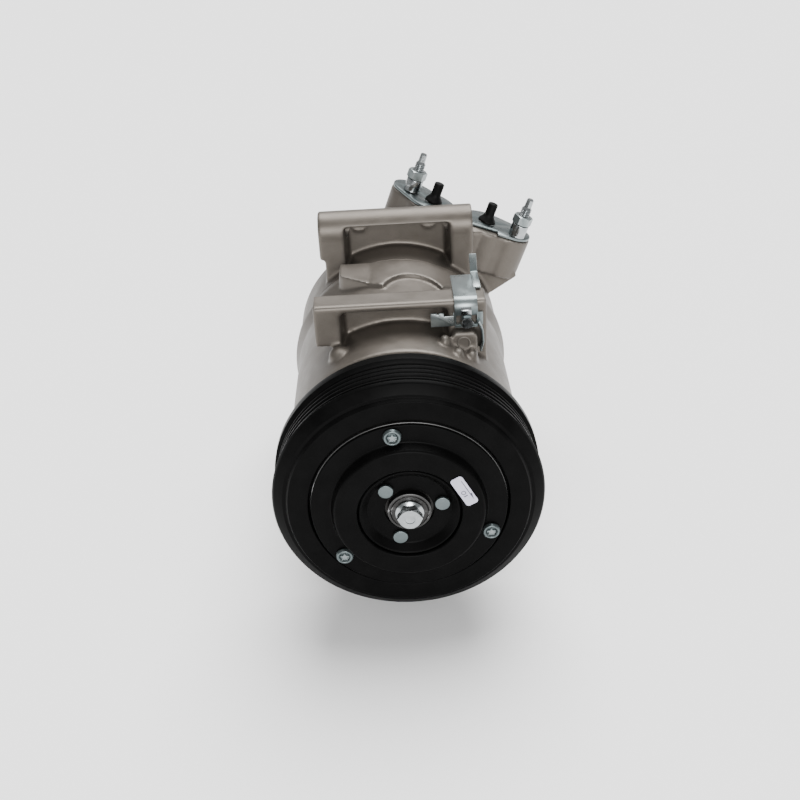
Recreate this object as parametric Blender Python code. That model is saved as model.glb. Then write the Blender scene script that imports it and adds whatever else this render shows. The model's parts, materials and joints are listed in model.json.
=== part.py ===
"""Belt-driven scroll compressor with its electromagnetic clutch, one object per piece.

All dimensions are in millimetres. The shaft axis is Y at X = Z = 0 while modelling: the clutch
faces -Y, the mounting lugs stand up along +Z, and Y = 0 is the pulley's front face. At the end the
whole assembly is moved so that the world origin is the bottom centre of its bounding box.
"""
import math

import bmesh
import bpy
from mathutils import Matrix, Vector

MM = 0.001
GAP = 0.3                      # clearance between neighbouring pieces
LARGE = 28                     # sides of a large, a medium and a small round
MEDIUM = 20
SMALL = 12

# Pulley and belt track
PULLEY_R = 63.3
PULLEY_DEPTH = 30.6
GROOVED_R = 61.9               # rib tips, just below the two flanges
GROOVE_PITCH = 3.56            # standard poly-V pitch
GROOVE_DEPTH = 2.8
GROOVE_COUNT = 5
FIRST_GROOVE_Y = 8.95
FACE_RING_R = 46.3             # inner radius of the pulley's front face ring
FRICTION_Y = 4.6               # friction face, behind the front face
SLOT_COUNT = 6

# Clutch
ARMATURE_R = 45.2
AIR_GAP = 0.55
OUTER_RIVET_CIRCLE = 40.1
OUTER_RIVET_START = 98.5       # degrees from +X towards +Z
INNER_RIVET_CIRCLE = 15.4
INNER_RIVET_START = 132.0
PLATEAU_Y = -6.5
BEARING_BORE_R = 17.6
BEARING_OUTER_R = 27.5
BEARING_Y = (9.3, 28.3)
LABEL_SIZE = (16.5, 6.0, 0.25)
LABEL_CENTRE = (24.8, 11.9)
LABEL_TILT = -61.0

# Housings
BARREL_R = 57.5
REAR_R = 58.6
PARTING_Y = 148.0
REAR_SHOULDER_Y = 184.0
REAR_END_Y = 209.0
CHAMBER_R = 46.5
CRANK_CHAMBER_R = 50.0
LEDGE_R = 38.0
BOLT_CIRCLE_R = 53.0
HOUSING_BOLT_ANGLES = (109.0, 169.0, 229.0, 289.0, 349.0)
LUG_X = (-41.0, 42.3)
FRONT_LUG_Y = (63.6, 78.3)
FRONT_LUG_TOP = 72.0
REAR_LUG_CENTRE = (167.0, 70.9)
REAR_LUG_R = 10.8
LOWER_LUG_BOTTOM = -74.8
LOWER_HOLE_Z = -64.5
FRONT_HOLE = (71.5, 61.5)      # Y and Z of the bolt hole through the front upper lug
LUG_HOLE_R = 4.5

# Manifold on the rear housing, tilted about Y
MANIFOLD_TILT = 21.0
MANIFOLD_CENTRE = (39.7, 190.0, 66.7)
SIDES = ("left", "right")
STUD_PLACE = {"left": (-30.5, 11.5), "right": (32.7, -11.3)}
PORT_PLACE = {"left": (-17.3, 4.0), "right": (15.4, -2.3)}
# Each pad is two circles joined by their outer tangents: centre and radius, then the same again.
PAD = {"left": ((-18.0, 6.0), 15.0, (-29.0, 18.0), 12.5),
       "right": ((17.0, -1.0), 16.0, (30.0, -3.5), 13.0)}
PAD_DEPTH = {"left": 38.0, "right": 24.0}
PLATE_T = 1.6
SLEEVE_H = 7.4
NUT_H = 5.0

# Connector bracket on the front lug
BRACKET_T = 1.3
BRACKET_X = (26.6, 39.0)
BRACKET_BOLT = (32.5, 62.0)

# Scroll set
BASE_CIRCLE = 2.6              # radius of the involutes' base circle
WALL_T = 4.0
WRAP_RUNNING_GAP = 0.35
ORBIT_R = math.pi * BASE_CIRCLE - WALL_T - WRAP_RUNNING_GAP
WRAP_START = 3.2
WRAP_END = 14.6
ORBIT_BASE_Y = (112.0, 118.0)
FIXED_BASE_Y = (142.6, 152.0)


# ---------------------------------------------------------------- materials and objects
def material(name, colour, roughness, metallic):
    """A plain Principled material."""
    mat = bpy.data.materials.new(name)
    mat.use_nodes = True
    shader = mat.node_tree.nodes["Principled BSDF"]
    shader.inputs["Base Color"].default_value = (*colour, 1.0)
    shader.inputs["Roughness"].default_value = roughness
    shader.inputs["Metallic"].default_value = metallic
    return mat


def make_materials():
    """Every finish used on the assembly."""
    table = {
        "cast_alloy": ((0.33, 0.30, 0.28), 0.5, 0.9),
        "black_coat": ((0.012, 0.012, 0.012), 0.35, 0.0),
        "bearing_steel": ((0.55, 0.55, 0.56), 0.22, 1.0),
        "dark_steel": ((0.16, 0.16, 0.17), 0.4, 1.0),
        "zinc": ((0.48, 0.52, 0.54), 0.35, 0.9),
        "bright_steel": ((0.62, 0.63, 0.64), 0.18, 1.0),
        "copper_wire": ((0.45, 0.17, 0.07), 0.45, 0.8),
        "rubber_black": ((0.015, 0.015, 0.016), 0.75, 0.0),
        "label_white": ((0.82, 0.82, 0.88), 0.5, 0.0),
        "machined_alloy": ((0.62, 0.62, 0.63), 0.3, 1.0),
    }
    return {name: material(name, *values) for name, values in table.items()}


def add_object(name, bm, mat, parent, pivot=(0.0, 0.0, 0.0)):
    """Turn a bmesh in millimetres into an object whose origin is at pivot."""
    bmesh.ops.translate(bm, verts=bm.verts, vec=-Vector(pivot))
    bmesh.ops.scale(bm, verts=bm.verts, vec=(MM, MM, MM))
    bmesh.ops.recalc_face_normals(bm, faces=bm.faces)
    mesh = bpy.data.meshes.new(name)
    bm.to_mesh(mesh)
    bm.free()
    mesh.materials.append(mat)
    mesh.shade_smooth()
    mesh.set_sharp_from_angle(angle=math.radians(30.0))
    obj = bpy.data.objects.new(name, mesh)
    bpy.context.scene.collection.objects.link(obj)
    obj.parent = parent
    obj.location = (Vector(pivot) - Vector(parent.get("pivot_mm", (0.0, 0.0, 0.0)))) * MM
    return obj


def add_empty(name, parent, pivot=(0.0, 0.0, 0.0)):
    """An empty on a joint's axis, which the moving pieces are parented to."""
    empty = bpy.data.objects.new(name, None)
    bpy.context.scene.collection.objects.link(empty)
    empty["pivot_mm"] = pivot
    if parent:
        empty.parent = parent
        empty.location = (Vector(pivot) - Vector(parent["pivot_mm"])) * MM
    return empty


# ---------------------------------------------------------------- solids
def turned(profile, segments, centre=(0.0, 0.0)):
    """Turn a profile of (radius, y) points about a Y axis through centre (x, z).

    A profile that starts and ends on the axis gives a solid piece, any other gives a ring.
    """
    bm = bmesh.new()
    solid = profile[0][0] == 0.0
    rings = []
    for radius, y in profile:
        if radius == 0.0:
            rings.append([bm.verts.new((centre[0], y, centre[1]))])
            continue
        ring = []
        for k in range(segments):
            a = math.tau * k / segments
            x = centre[0] + radius * math.cos(a)
            z = centre[1] + radius * math.sin(a)
            ring.append(bm.verts.new((x, y, z)))
        rings.append(ring)
    pairs = list(zip(rings, rings[1:]))
    if not solid:
        pairs.append((rings[-1], rings[0]))
    for ring_a, ring_b in pairs:
        for k in range(segments):
            n = (k + 1) % segments
            corners = [ring_a[k % len(ring_a)], ring_a[n % len(ring_a)],
                       ring_b[n % len(ring_b)], ring_b[k % len(ring_b)]]
            bm.faces.new(list(dict.fromkeys(corners)))
    bmesh.ops.recalc_face_normals(bm, faces=bm.faces)
    return bm


def prism(outline, low, high, frame=Matrix.Identity(4)):
    """Extrude an outline of (a, b) points from low to high along the frame's third axis."""
    bm = bmesh.new()
    lower = [bm.verts.new((a, b, low)) for a, b in outline]
    upper = [bm.verts.new((a, b, high)) for a, b in outline]
    bm.faces.new(lower)
    bm.faces.new(upper)
    count = len(outline)
    for k in range(count):
        n = (k + 1) % count
        bm.faces.new((lower[k], lower[n], upper[n], upper[k]))
    bmesh.ops.recalc_face_normals(bm, faces=bm.faces)
    bmesh.ops.transform(bm, verts=bm.verts, matrix=frame)
    bmesh.ops.recalc_face_normals(bm, faces=bm.faces)
    return bm


# Outlines in X and Z, extruded along Y; and outlines in Y and Z, extruded along X.
ALONG_Y = Matrix(((1, 0, 0, 0), (0, 0, 1, 0), (0, 1, 0, 0), (0, 0, 0, 1)))
ALONG_X = Matrix(((0, 0, 1, 0), (1, 0, 0, 0), (0, 1, 0, 0), (0, 0, 0, 1)))


def block(x, y, z):
    """A box between pairs of limits."""
    corners = [(x[0], y[0]), (x[1], y[0]), (x[1], y[1]), (x[0], y[1])]
    return prism(corners, z[0], z[1])


def arc(centre, radius, start, end, steps):
    """Points on an arc, angles in degrees, both ends included."""
    points = []
    for k in range(steps + 1):
        a = math.radians(start + (end - start) * k / steps)
        points.append((centre[0] + radius * math.cos(a), centre[1] + radius * math.sin(a)))
    return points


def circle(centre, radius, steps):
    """A full circle of points."""
    return arc(centre, radius, 0.0, 360.0 * (steps - 1) / steps, steps - 1)


def rounded_box(width, height, radius, steps=3, centre=(0.0, 0.0)):
    """A rectangle with round corners."""
    points = []
    for k, (sx, sy) in enumerate(((1, 1), (-1, 1), (-1, -1), (1, -1))):
        corner = (centre[0] + sx * (width / 2 - radius), centre[1] + sy * (height / 2 - radius))
        points += arc(corner, radius, 90.0 * k, 90.0 * (k + 1), steps)
    return points


def rod_x(y, z, radius, x0, x1, steps=SMALL):
    """A cylinder along X."""
    return prism(circle((y, z), radius, steps), x0, x1, ALONG_X)


def rod_y(x, z, radius, y0, y1, steps=SMALL):
    """A cylinder along Y."""
    return prism(circle((x, z), radius, steps), y0, y1, ALONG_Y)


def boolean(bm_a, bm_b, operation):
    """Union or difference of two closed bmeshes."""
    holders = []
    for bm in (bm_a, bm_b):
        mesh = bpy.data.meshes.new("part")
        bm.to_mesh(mesh)
        bm.free()
        holder = bpy.data.objects.new("part", mesh)
        bpy.context.scene.collection.objects.link(holder)
        holders.append(holder)
    modifier = holders[0].modifiers.new("cut", "BOOLEAN")
    modifier.object = holders[1]
    modifier.operation = operation
    graph = bpy.context.evaluated_depsgraph_get()
    result = bmesh.new()
    result.from_mesh(holders[0].evaluated_get(graph).to_mesh())
    for holder in holders:
        mesh = holder.data
        bpy.data.objects.remove(holder)
        bpy.data.meshes.remove(mesh)
    return result


def union(first, *others):
    """One body from several overlapping ones."""
    for other in others:
        first = boolean(first, other, "UNION")
    return first


def cut(first, *cutters):
    """Take cutters away from a body."""
    for cutter in cutters:
        first = boolean(first, cutter, "DIFFERENCE")
    return first


def on_circle(radius, degrees):
    """The X and Z of a point on a circle about the shaft."""
    a = math.radians(degrees)
    return radius * math.cos(a), radius * math.sin(a)


# ---------------------------------------------------------------- clutch
def pulley_profile():
    """Section of the pulley: front lip, flanges, grooves, rim, web and bearing sleeve."""
    points = [(FACE_RING_R, 0.0), (55.6, 0.0), (56.7, 1.9), (58.2, 2.1),
              (PULLEY_R - 0.9, 4.8), (PULLEY_R, 6.4)]
    for k in range(GROOVE_COUNT):
        y = FIRST_GROOVE_Y + k * GROOVE_PITCH
        points.append((GROOVED_R - GROOVE_DEPTH, y))
        points.append((GROOVED_R, y + GROOVE_PITCH / 2))
    points[-1] = (PULLEY_R, points[-1][1])
    points += [(PULLEY_R, PULLEY_DEPTH - 0.6), (PULLEY_R - 0.6, PULLEY_DEPTH),
               (46.9, PULLEY_DEPTH), (46.9, 10.0), (31.2, 10.0), (31.2, 30.2), (27.8, 30.2),
               (27.8, 9.0), (25.5, 9.0), (25.5, FRICTION_Y), (FACE_RING_R, FRICTION_Y)]
    return points


def friction_slot(index):
    """One arc-shaped slot through the friction disc, which steers the magnetic flux."""
    pitch = 360.0 / SLOT_COUNT
    start, end = index * pitch + 8.0, (index + 1) * pitch - 8.0
    outline = arc((0, 0), 39.2, start, end, 3) + arc((0, 0), 37.2, end, start, 3)
    return prism(outline, FRICTION_Y - 1.0, 11.0, ALONG_Y)


def ball_ring(mean_r, ball_r, y, count, around, section):
    """Cage and balls as one body: a ring whose section swells at every ball."""
    bm = bmesh.new()
    rings = []
    for i in range(around):
        a = math.tau * i / around
        swell = 0.5 + 0.5 * math.cos(count * a)
        radius = ball_r * (0.45 + 0.55 * swell)
        ring = []
        for j in range(section):
            b = math.tau * j / section
            r = mean_r + radius * math.cos(b)
            ring.append(bm.verts.new((r * math.cos(a), y + radius * math.sin(b), r * math.sin(a))))
        rings.append(ring)
    for i in range(around):
        following = rings[(i + 1) % around]
        for j in range(section):
            n = (j + 1) % section
            bm.faces.new((rings[i][j], following[j], following[n], rings[i][n]))
    bmesh.ops.recalc_face_normals(bm, faces=bm.faces)
    return bm


def make_pulley(mats, pulley):
    """The rotor, its bearing's outer ring and the clip that holds the bearing."""
    body = turned(pulley_profile(), LARGE)
    body = cut(body, *[friction_slot(k) for k in range(SLOT_COUNT)])
    add_object("pulley_rotor", body, mats["black_coat"], pulley)
    y0, y1 = BEARING_Y
    outer = turned([(24.5, y0), (BEARING_OUTER_R, y0), (BEARING_OUTER_R, y1), (24.5, y1)], MEDIUM)
    add_object("pulley_bearing_outer_ring", outer, mats["bearing_steel"], pulley)
    clip = turned([(25.4, y1 + GAP), (27.5, y1 + GAP), (27.5, y1 + 1.6), (25.4, y1 + 1.6)], MEDIUM)
    add_object("pulley_bearing_clip", clip, mats["dark_steel"], pulley)


def make_pulley_bearing(mats, frame, cage):
    """Fixed inner ring and the balls that roll round it."""
    y0, y1 = BEARING_Y
    inner = turned([(BEARING_BORE_R, y0), (20.8, y0), (20.8, y1), (BEARING_BORE_R, y1)], MEDIUM)
    add_object("pulley_bearing_inner_ring", inner, mats["bearing_steel"], frame)
    balls = ball_ring(22.5, 1.35, (y0 + y1) / 2, 12, 48, 5)
    add_object("pulley_bearing_balls", balls, mats["bearing_steel"], cage)
    clip = turned([(16.7, 7.3), (19.6, 7.3), (19.6, 8.7), (16.7, 8.7)], MEDIUM)
    add_object("nose_clip", clip, mats["dark_steel"], frame)


def make_coil(mats, frame):
    """Steel coil shell with its mounting flange, and the copper winding in it."""
    shell = turned([(32.0, 12.0), (34.6, 12.0), (34.6, 30.5), (43.0, 30.5), (43.0, 12.0),
                    (45.9, 12.0), (45.9, 33.2), (44.2, 35.6), (18.5, 35.6), (18.5, 33.2),
                    (32.0, 33.2)], LARGE)
    add_object("coil_shell", shell, mats["dark_steel"], frame)
    winding = turned([(34.9, 12.8), (42.7, 12.8), (42.7, 30.2), (34.9, 30.2)], LARGE)
    add_object("coil_winding", winding, mats["copper_wire"], frame)


def rivet(centre, head_r, head_y, shank_r, end_y):
    """A rivet with a domed head at the front."""
    front, back = head_y
    profile = [(0.0, front + 0.3), (head_r * 0.45, front), (head_r * 0.85, front),
               (head_r, front + 0.7), (head_r, back), (shank_r, back), (shank_r, end_y),
               (0.0, end_y)]
    return turned(profile, SMALL, centre)


def make_armature(mats, armature):
    """Friction armature, its stamped front plate, the outer rivets and the label."""
    back = FRICTION_Y - AIR_GAP
    plate = turned([(27.0, GAP), (ARMATURE_R, GAP), (ARMATURE_R, back), (27.0, back)], LARGE)
    angles = [OUTER_RIVET_START + 120.0 * k for k in range(3)]
    places = [on_circle(OUTER_RIVET_CIRCLE, a) for a in angles]
    plate = cut(plate, *[rod_y(x, z, 2.7, -1.0, 6.0) for x, z in places])
    add_object("armature_plate", plate, mats["dark_steel"], armature)

    front = turned([(45.0, -1.6), (35.6, -1.6), (34.6, -3.0), (34.0, -5.8), (33.0, PLATEAU_Y),
                    (24.4, PLATEAU_Y), (23.7, -6.0), (23.7, -4.9), (32.2, -4.9),
                    (33.1, -2.5), (35.0, 0.0), (45.0, 0.0)], LARGE)
    front = cut(front, *[rod_y(x, z, 2.7, -4.0, 2.0) for x, z in places])
    add_object("clutch_front_plate", front, mats["black_coat"], armature)
    for k, place in enumerate(places):
        body = rivet(place, 4.2, (-3.8, -1.9), 2.4, 3.9)
        add_object(f"outer_rivet_{k + 1}", body, mats["zinc"], armature)

    tilt = Matrix.Rotation(math.radians(LABEL_TILT), 4, "Z")
    label = prism(rounded_box(LABEL_SIZE[0], LABEL_SIZE[1], 1.4), 0.0, LABEL_SIZE[2], tilt)
    bmesh.ops.transform(label, verts=label.verts, matrix=ALONG_Y)
    top = PLATEAU_Y - GAP - LABEL_SIZE[2]
    bmesh.ops.translate(label, verts=label.verts, vec=(LABEL_CENTRE[0], top, LABEL_CENTRE[1]))
    add_object("rotation_label", label, mats["label_white"], armature)

    rubber = turned([(25.6, -4.5), (31.6, -4.5), (32.6, -2.4), (32.6, -0.9), (25.6, -0.9)], MEDIUM)
    add_object("rubber_damper", rubber, mats["rubber_black"], armature)


def make_hub(mats, shaft):
    """Dished inner plate, splined hub, inner rivets, shim and centre bolt."""
    dish = turned([(11.2, -2.2), (18.9, -2.2), (22.0, -5.6), (22.8, -5.6), (24.8, -1.9),
                   (24.8, -0.7), (11.2, -0.7)], LARGE)
    angles = [INNER_RIVET_START - 120.0 * k for k in range(3)]
    places = [on_circle(INNER_RIVET_CIRCLE, a) for a in angles]
    holes = [rod_y(x, z, 2.2, -4.0, 1.0) for x, z in places]
    add_object("inner_hub_plate", cut(dish, *holes), mats["black_coat"], shaft)

    hub = turned([(3.3, -4.4), (9.4, -4.4), (10.0, -3.8), (10.0, -0.4), (19.4, -0.4), (19.4, 2.2),
                  (9.4, 2.2), (9.4, 20.0), (6.3, 20.0), (6.3, -0.8), (3.3, -0.8)], MEDIUM)
    holes = [rod_y(x, z, 2.2, -2.0, 4.0) for x, z in places]
    add_object("clutch_hub", cut(hub, *holes), mats["dark_steel"], shaft)
    for k, place in enumerate(places):
        body = rivet(place, 3.45, (-4.0, -2.5), 1.9, 2.5)
        add_object(f"inner_rivet_{k + 1}", body, mats["zinc"], shaft)

    shim = turned([(3.3, -0.5), (6.0, -0.5), (6.0, 0.3), (3.3, 0.3)], MEDIUM)
    add_object("clutch_shim", shim, mats["bright_steel"], shaft)
    head = prism(circle((0, 0), 5.77, 6), -10.2, -5.9, ALONG_Y)
    flange = turned([(0.0, -6.6), (5.0, -6.6), (6.6, -5.6), (6.6, -4.7), (2.9, -4.7), (2.9, 16.0),
                     (0.0, 16.0)], SMALL)
    add_object("clutch_bolt", union(flange, head), mats["bright_steel"], shaft)


# ---------------------------------------------------------------- shaft and scroll set
def make_shaft(mats, shaft):
    """Drive shaft with crank disc and pin, bearing inner ring and weighted bushing."""
    pin = rod_y(ORBIT_R, 0.0, 6.0, 90.0, 109.0)
    add_object("drive_shaft", union(shaft_body(), pin), mats["bearing_steel"], shaft)
    ring = turned([(10.3, 43.3), (13.6, 43.3), (13.6, 56.5), (10.3, 56.5)], MEDIUM)
    add_object("main_bearing_inner_ring", ring, mats["bearing_steel"], shaft)

    bush = turned([(6.3, 91.5), (9.7, 91.5), (9.7, 108.5), (6.3, 108.5)], MEDIUM, (ORBIT_R, 0.0))
    weight = prism(arc((0, 0), 34.0, 110.0, 250.0, 14) + arc((0, 0), 4.6, 250.0, 110.0, 6),
                   91.8, 95.8, ALONG_Y)
    add_object("balance_bushing", union(bush, weight), mats["dark_steel"], shaft)


def shaft_body():
    """The turned part of the drive shaft, with the blind hole for the clutch bolt."""
    return turned([(0.0, 18.0), (3.3, 18.0), (3.3, 1.0), (6.0, 1.0), (6.0, 21.0), (8.0, 23.0),
                   (8.0, 42.5), (10.0, 43.0), (10.0, 84.5), (18.0, 84.5), (18.0, 91.0),
                   (0.0, 91.0)], MEDIUM)


def involute(angle, offset):
    """A point on an involute of the base circle."""
    roll = angle - offset
    x = BASE_CIRCLE * (math.cos(angle) + roll * math.sin(angle))
    z = BASE_CIRCLE * (math.sin(angle) - roll * math.cos(angle))
    return x, z


def wrap_outline(turn):
    """Outline of one spiral wall, turned about the scroll's own centre."""
    half = WALL_T / (2.0 * BASE_CIRCLE)
    steps = 44
    angles = [WRAP_START + (WRAP_END - WRAP_START) * k / steps for k in range(steps + 1)]
    outer = [involute(a, -half) for a in angles]
    inner = [involute(a, half) for a in reversed(angles)]
    c, s = math.cos(turn), math.sin(turn)
    return [(x * c - z * s, x * s + z * c) for x, z in outer + inner]


def make_orbiting_scroll(mats, orbit):
    """Orbiting scroll: base disc, bearing hub behind it and the spiral in front of it."""
    centre = (ORBIT_R, 0.0)
    base_y0, base_y1 = ORBIT_BASE_Y
    spiral = [(x + ORBIT_R, z) for x, z in wrap_outline(math.pi)]
    body = union(orbit_body(centre), prism(spiral, base_y1 - 0.5, 142.0, ALONG_Y))
    pockets = []
    for k in range(4):
        x, z = on_circle(32.6, 45.0 + 90.0 * k)
        pockets.append(rod_y(x + ORBIT_R, z, ORBIT_R + 2.0, base_y0 - 1.0, base_y0 + 3.5, MEDIUM))
    body = cut(body, *pockets)
    add_object("orbiting_scroll", body, mats["machined_alloy"], orbit, (ORBIT_R, 0.0, 0.0))
    ring = turned([(10.0, 98.0), (12.7, 98.0), (12.7, 110.0), (10.0, 110.0)], MEDIUM, centre)
    add_object("orbit_bearing", ring, mats["bearing_steel"], orbit, (ORBIT_R, 0.0, 0.0))


def orbit_body(centre):
    """Base disc and bearing hub of the orbiting scroll."""
    base_y0, base_y1 = ORBIT_BASE_Y
    return turned([(0.0, 110.5), (13.0, 110.5), (13.0, 97.0), (17.0, 97.0), (17.0, base_y0),
                   (40.0, base_y0), (40.0, base_y1), (0.0, base_y1)], 40, centre)


def make_fixed_set(mats, frame):
    """Fixed scroll, thrust plate, anti-rotation pins, discharge valve, bearing and seals."""
    y0, y1 = FIXED_BASE_Y
    body = turned([(0.0, y0), (44.6, y0), (44.6, 118.6), (46.1, 118.6), (46.1, y1), (0.0, y1)], LARGE)
    body = union(body, prism(wrap_outline(0.0), 118.6, y0 + 0.5, ALONG_Y))
    body = cut(body, rod_y(0.0, 0.0, 3.6, y0 - 40.0, y1 + 2.0))
    add_object("fixed_scroll", body, mats["machined_alloy"], frame)

    plate = turned([(26.5, 108.3), (46.1, 108.3), (46.1, 111.5), (26.5, 111.5)], LARGE)
    places = [on_circle(32.6, 45.0 + 90.0 * k) for k in range(4)]
    plate = cut(plate, *[rod_y(x, z, 2.0, 107.0, 113.0) for x, z in places])
    add_object("thrust_plate", plate, mats["bright_steel"], frame)
    for k, (x, z) in enumerate(places):
        pin = rod_y(x, z, 1.7, 108.5, 115.0)
        add_object(f"anti_rotation_pin_{k + 1}", pin, mats["bearing_steel"], frame)

    reed = prism(rounded_box(9.0, 30.0, 4.2, 4, (0.0, 9.0)), y1 + GAP, y1 + 0.9, ALONG_Y)
    add_object("discharge_reed", reed, mats["bright_steel"], frame)
    stop = prism(rounded_box(9.0, 30.0, 4.2, 4, (0.0, 9.0)), y1 + 1.2, y1 + 3.2, ALONG_Y)
    add_object("reed_stop", stop, mats["dark_steel"], frame)

    outer = turned([(19.6, 43.2), (23.9, 43.2), (23.9, 57.2), (19.6, 57.2)], MEDIUM)
    add_object("main_bearing_outer_ring", outer, mats["bearing_steel"], frame)
    lip = turned([(8.4, 31.0), (14.0, 31.0), (14.0, 40.0), (11.5, 40.0), (10.4, 35.0),
                  (8.4, 34.0)], MEDIUM)
    add_object("shaft_seal", lip, mats["rubber_black"], frame)
    seal = turned([(49.1 + 0.9 * math.cos(a), PARTING_Y - 1.4 + 0.9 * math.sin(a))
                   for a in [math.tau * k / 4 for k in range(4)]], LARGE)
    add_object("housing_seal", seal, mats["rubber_black"], frame)


# ---------------------------------------------------------------- housings
def lower_lug(y):
    """A plain bar under the barrel, bored along X for a mounting bolt."""
    z0, z1 = LOWER_LUG_BOTTOM, -46.0
    outline = [(y[0], z1), (y[0], z0 + 2.5), (y[0] + 2.5, z0), (y[1] - 2.5, z0),
               (y[1], z0 + 2.5), (y[1], z1)]
    return prism(outline, LUG_X[0], LUG_X[1], ALONG_X)


def front_upper_lug():
    """Flat-topped lug with a deep pocket in its front, between two bored ends."""
    y0, y1 = FRONT_LUG_Y
    top = FRONT_LUG_TOP
    outline = [(y0, 38.0), (y0, top - 1.5), (y0 + 1.5, top), (y1 - 1.5, top), (y1, top - 1.5),
               (y1, 38.0)]
    lug = prism(outline, LUG_X[0], LUG_X[1], ALONG_X)
    left = block((LUG_X[0] - 1.0, LUG_X[0] + 11.0), (y0 - 1.0, y1 + 1.0), (30.0, 51.0))
    pocket = block((-28.6, 24.0), (y0 - 1.0, 75.0), (30.0, top - 3.7))
    return cut(lug, left, pocket)


def rear_upper_lug():
    """Round bolt boss on two legs, with a web set back between them."""
    y, z = REAR_LUG_CENTRE
    r = REAR_LUG_R
    boss = rod_x(y, z, r, LUG_X[0] - 1.2, LUG_X[1] + 1.8, MEDIUM)
    legs = block((LUG_X[0] + 1.0, LUG_X[1] - 0.3), (y - r + 0.4, y + r - 0.4), (38.0, z + 2.0))
    pocket = block((-28.3, 31.8), (y - r - 2.0, 171.6), (30.0, 75.9))
    return cut(union(boss, legs), pocket)


def hull_outline(centre_a, radius_a, centre_b, radius_b, steps=8):
    """Outline of two circles joined by their outer tangents."""
    reach = Vector(centre_b) - Vector(centre_a)
    along = math.degrees(math.atan2(reach.y, reach.x))
    spread = math.degrees(math.acos((radius_a - radius_b) / reach.length))
    near_b = arc(centre_b, radius_b, along - spread, along + spread, steps)
    near_a = arc(centre_a, radius_a, along + spread, along + 360.0 - spread, steps + 4)
    return near_b + near_a


def manifold_frame():
    """Frame on the manifold's top face: first axis along the studs, second Y, third outwards."""
    turn = Matrix.Rotation(math.radians(MANIFOLD_TILT), 4, "Y")
    return Matrix.Translation(MANIFOLD_CENTRE) @ turn


def pad_outline(side, grow=0.0):
    """Outline of one port pad, larger by grow."""
    centre_a, radius_a, centre_b, radius_b = PAD[side]
    return hull_outline(centre_a, radius_a + grow, centre_b, radius_b + grow)


def manifold():
    """The cast port block that stands out of the rear housing."""
    frame = manifold_frame()
    pads = [prism(pad_outline(side), -PAD_DEPTH[side], 0.0, frame) for side in SIDES]
    web = prism(rounded_box(30.0, 34.0, 4.0, 3, (-1.0, 0.0)), -44.0, -1.2, frame)
    deep = prism(circle(PAD["left"][0], 12.0, SMALL), -48.0, -2.0, frame)
    wedge = [(71.4, 31.6), (57.0, 22.4), (40.0, 16.0), (34.0, 50.0), (60.0, 56.0)]
    return union(*pads, web, deep, prism(wedge, 177.5, 197.0, ALONG_Y))


def manifold_holes():
    """Blind stud holes in the manifold's top face and the two ports down to the chamber."""
    frame = manifold_frame()
    cutters = [prism(circle(STUD_PLACE[side], 3.3, SMALL), -14.0, 2.0, frame) for side in SIDES]
    cutters += [prism(circle(PORT_PLACE[side], 6.0, SMALL), -46.0, 2.0, frame) for side in SIDES]
    return cutters


def front_outer():
    """The turned outside of the front housing, still solid: nose, barrel and rear flange."""
    rim = PARTING_Y - 0.4
    return turned([(0.0, 3.0), (17.3, 3.0), (17.3, 7.0), (16.4, 7.0), (16.4, 9.0), (17.3, 9.0),
                   (17.3, 36.0), (44.5, 36.0), (45.3, 42.5), (52.5, 42.5), (BARREL_R, 48.0),
                   (BARREL_R, 128.0), (60.2, 143.0), (60.2, rim), (50.4, rim), (50.4, rim - 2.4),
                   (47.8, rim - 2.4), (47.8, rim), (0.0, rim)], LARGE)


def front_cavity():
    """The stepped space in the front housing: shaft bore, bearing seat and chambers."""
    return turned([(0.0, 0.0), (10.5, 0.0), (10.5, 30.0), (14.3, 30.0), (14.3, 42.8),
                   (24.2, 42.8), (24.2, 58.0), (29.0, 58.0), (29.0, 48.0),
                   (CRANK_CHAMBER_R, 48.0), (CRANK_CHAMBER_R, 98.0), (LEDGE_R, 98.0),
                   (LEDGE_R, 108.0), (CHAMBER_R, 108.0), (CHAMBER_R, 160.0), (0.0, 160.0)], LARGE)


def make_front_housing(mats, frame):
    """Front housing: nose, barrel, flange, lugs and bolt bosses."""
    rim = PARTING_Y - 0.4
    body = front_outer()
    for angle in HOUSING_BOLT_ANGLES:
        turn = Matrix.Rotation(math.radians(90.0 - angle), 4, "Y")
        boss = block((-10.0, 10.0), (129.0, rim - 1.0), (50.0, 61.4))
        bmesh.ops.transform(boss, verts=boss.verts, matrix=turn)
        body = union(body, boss)
    body = union(body, front_upper_lug(), lower_lug(FRONT_LUG_Y))
    body = union(body, block((24.5, 37.5), (60.0, 66.0), (41.0, 58.2)))
    holes = [front_cavity(), rod_x(*FRONT_HOLE, LUG_HOLE_R, -60.0, 60.0),
             rod_x(FRONT_HOLE[0], LOWER_HOLE_Z, LUG_HOLE_R, -60.0, 60.0)]
    for angle in HOUSING_BOLT_ANGLES:
        x, z = on_circle(BOLT_CIRCLE_R, angle)
        holes.append(rod_y(x, z, 3.3, 122.0, 150.0))
    holes.append(rod_y(BRACKET_BOLT[0], BRACKET_BOLT[1], 2.4, 55.0, 66.4))
    add_object("front_housing", cut(body, *holes), mats["cast_alloy"], frame)


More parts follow.
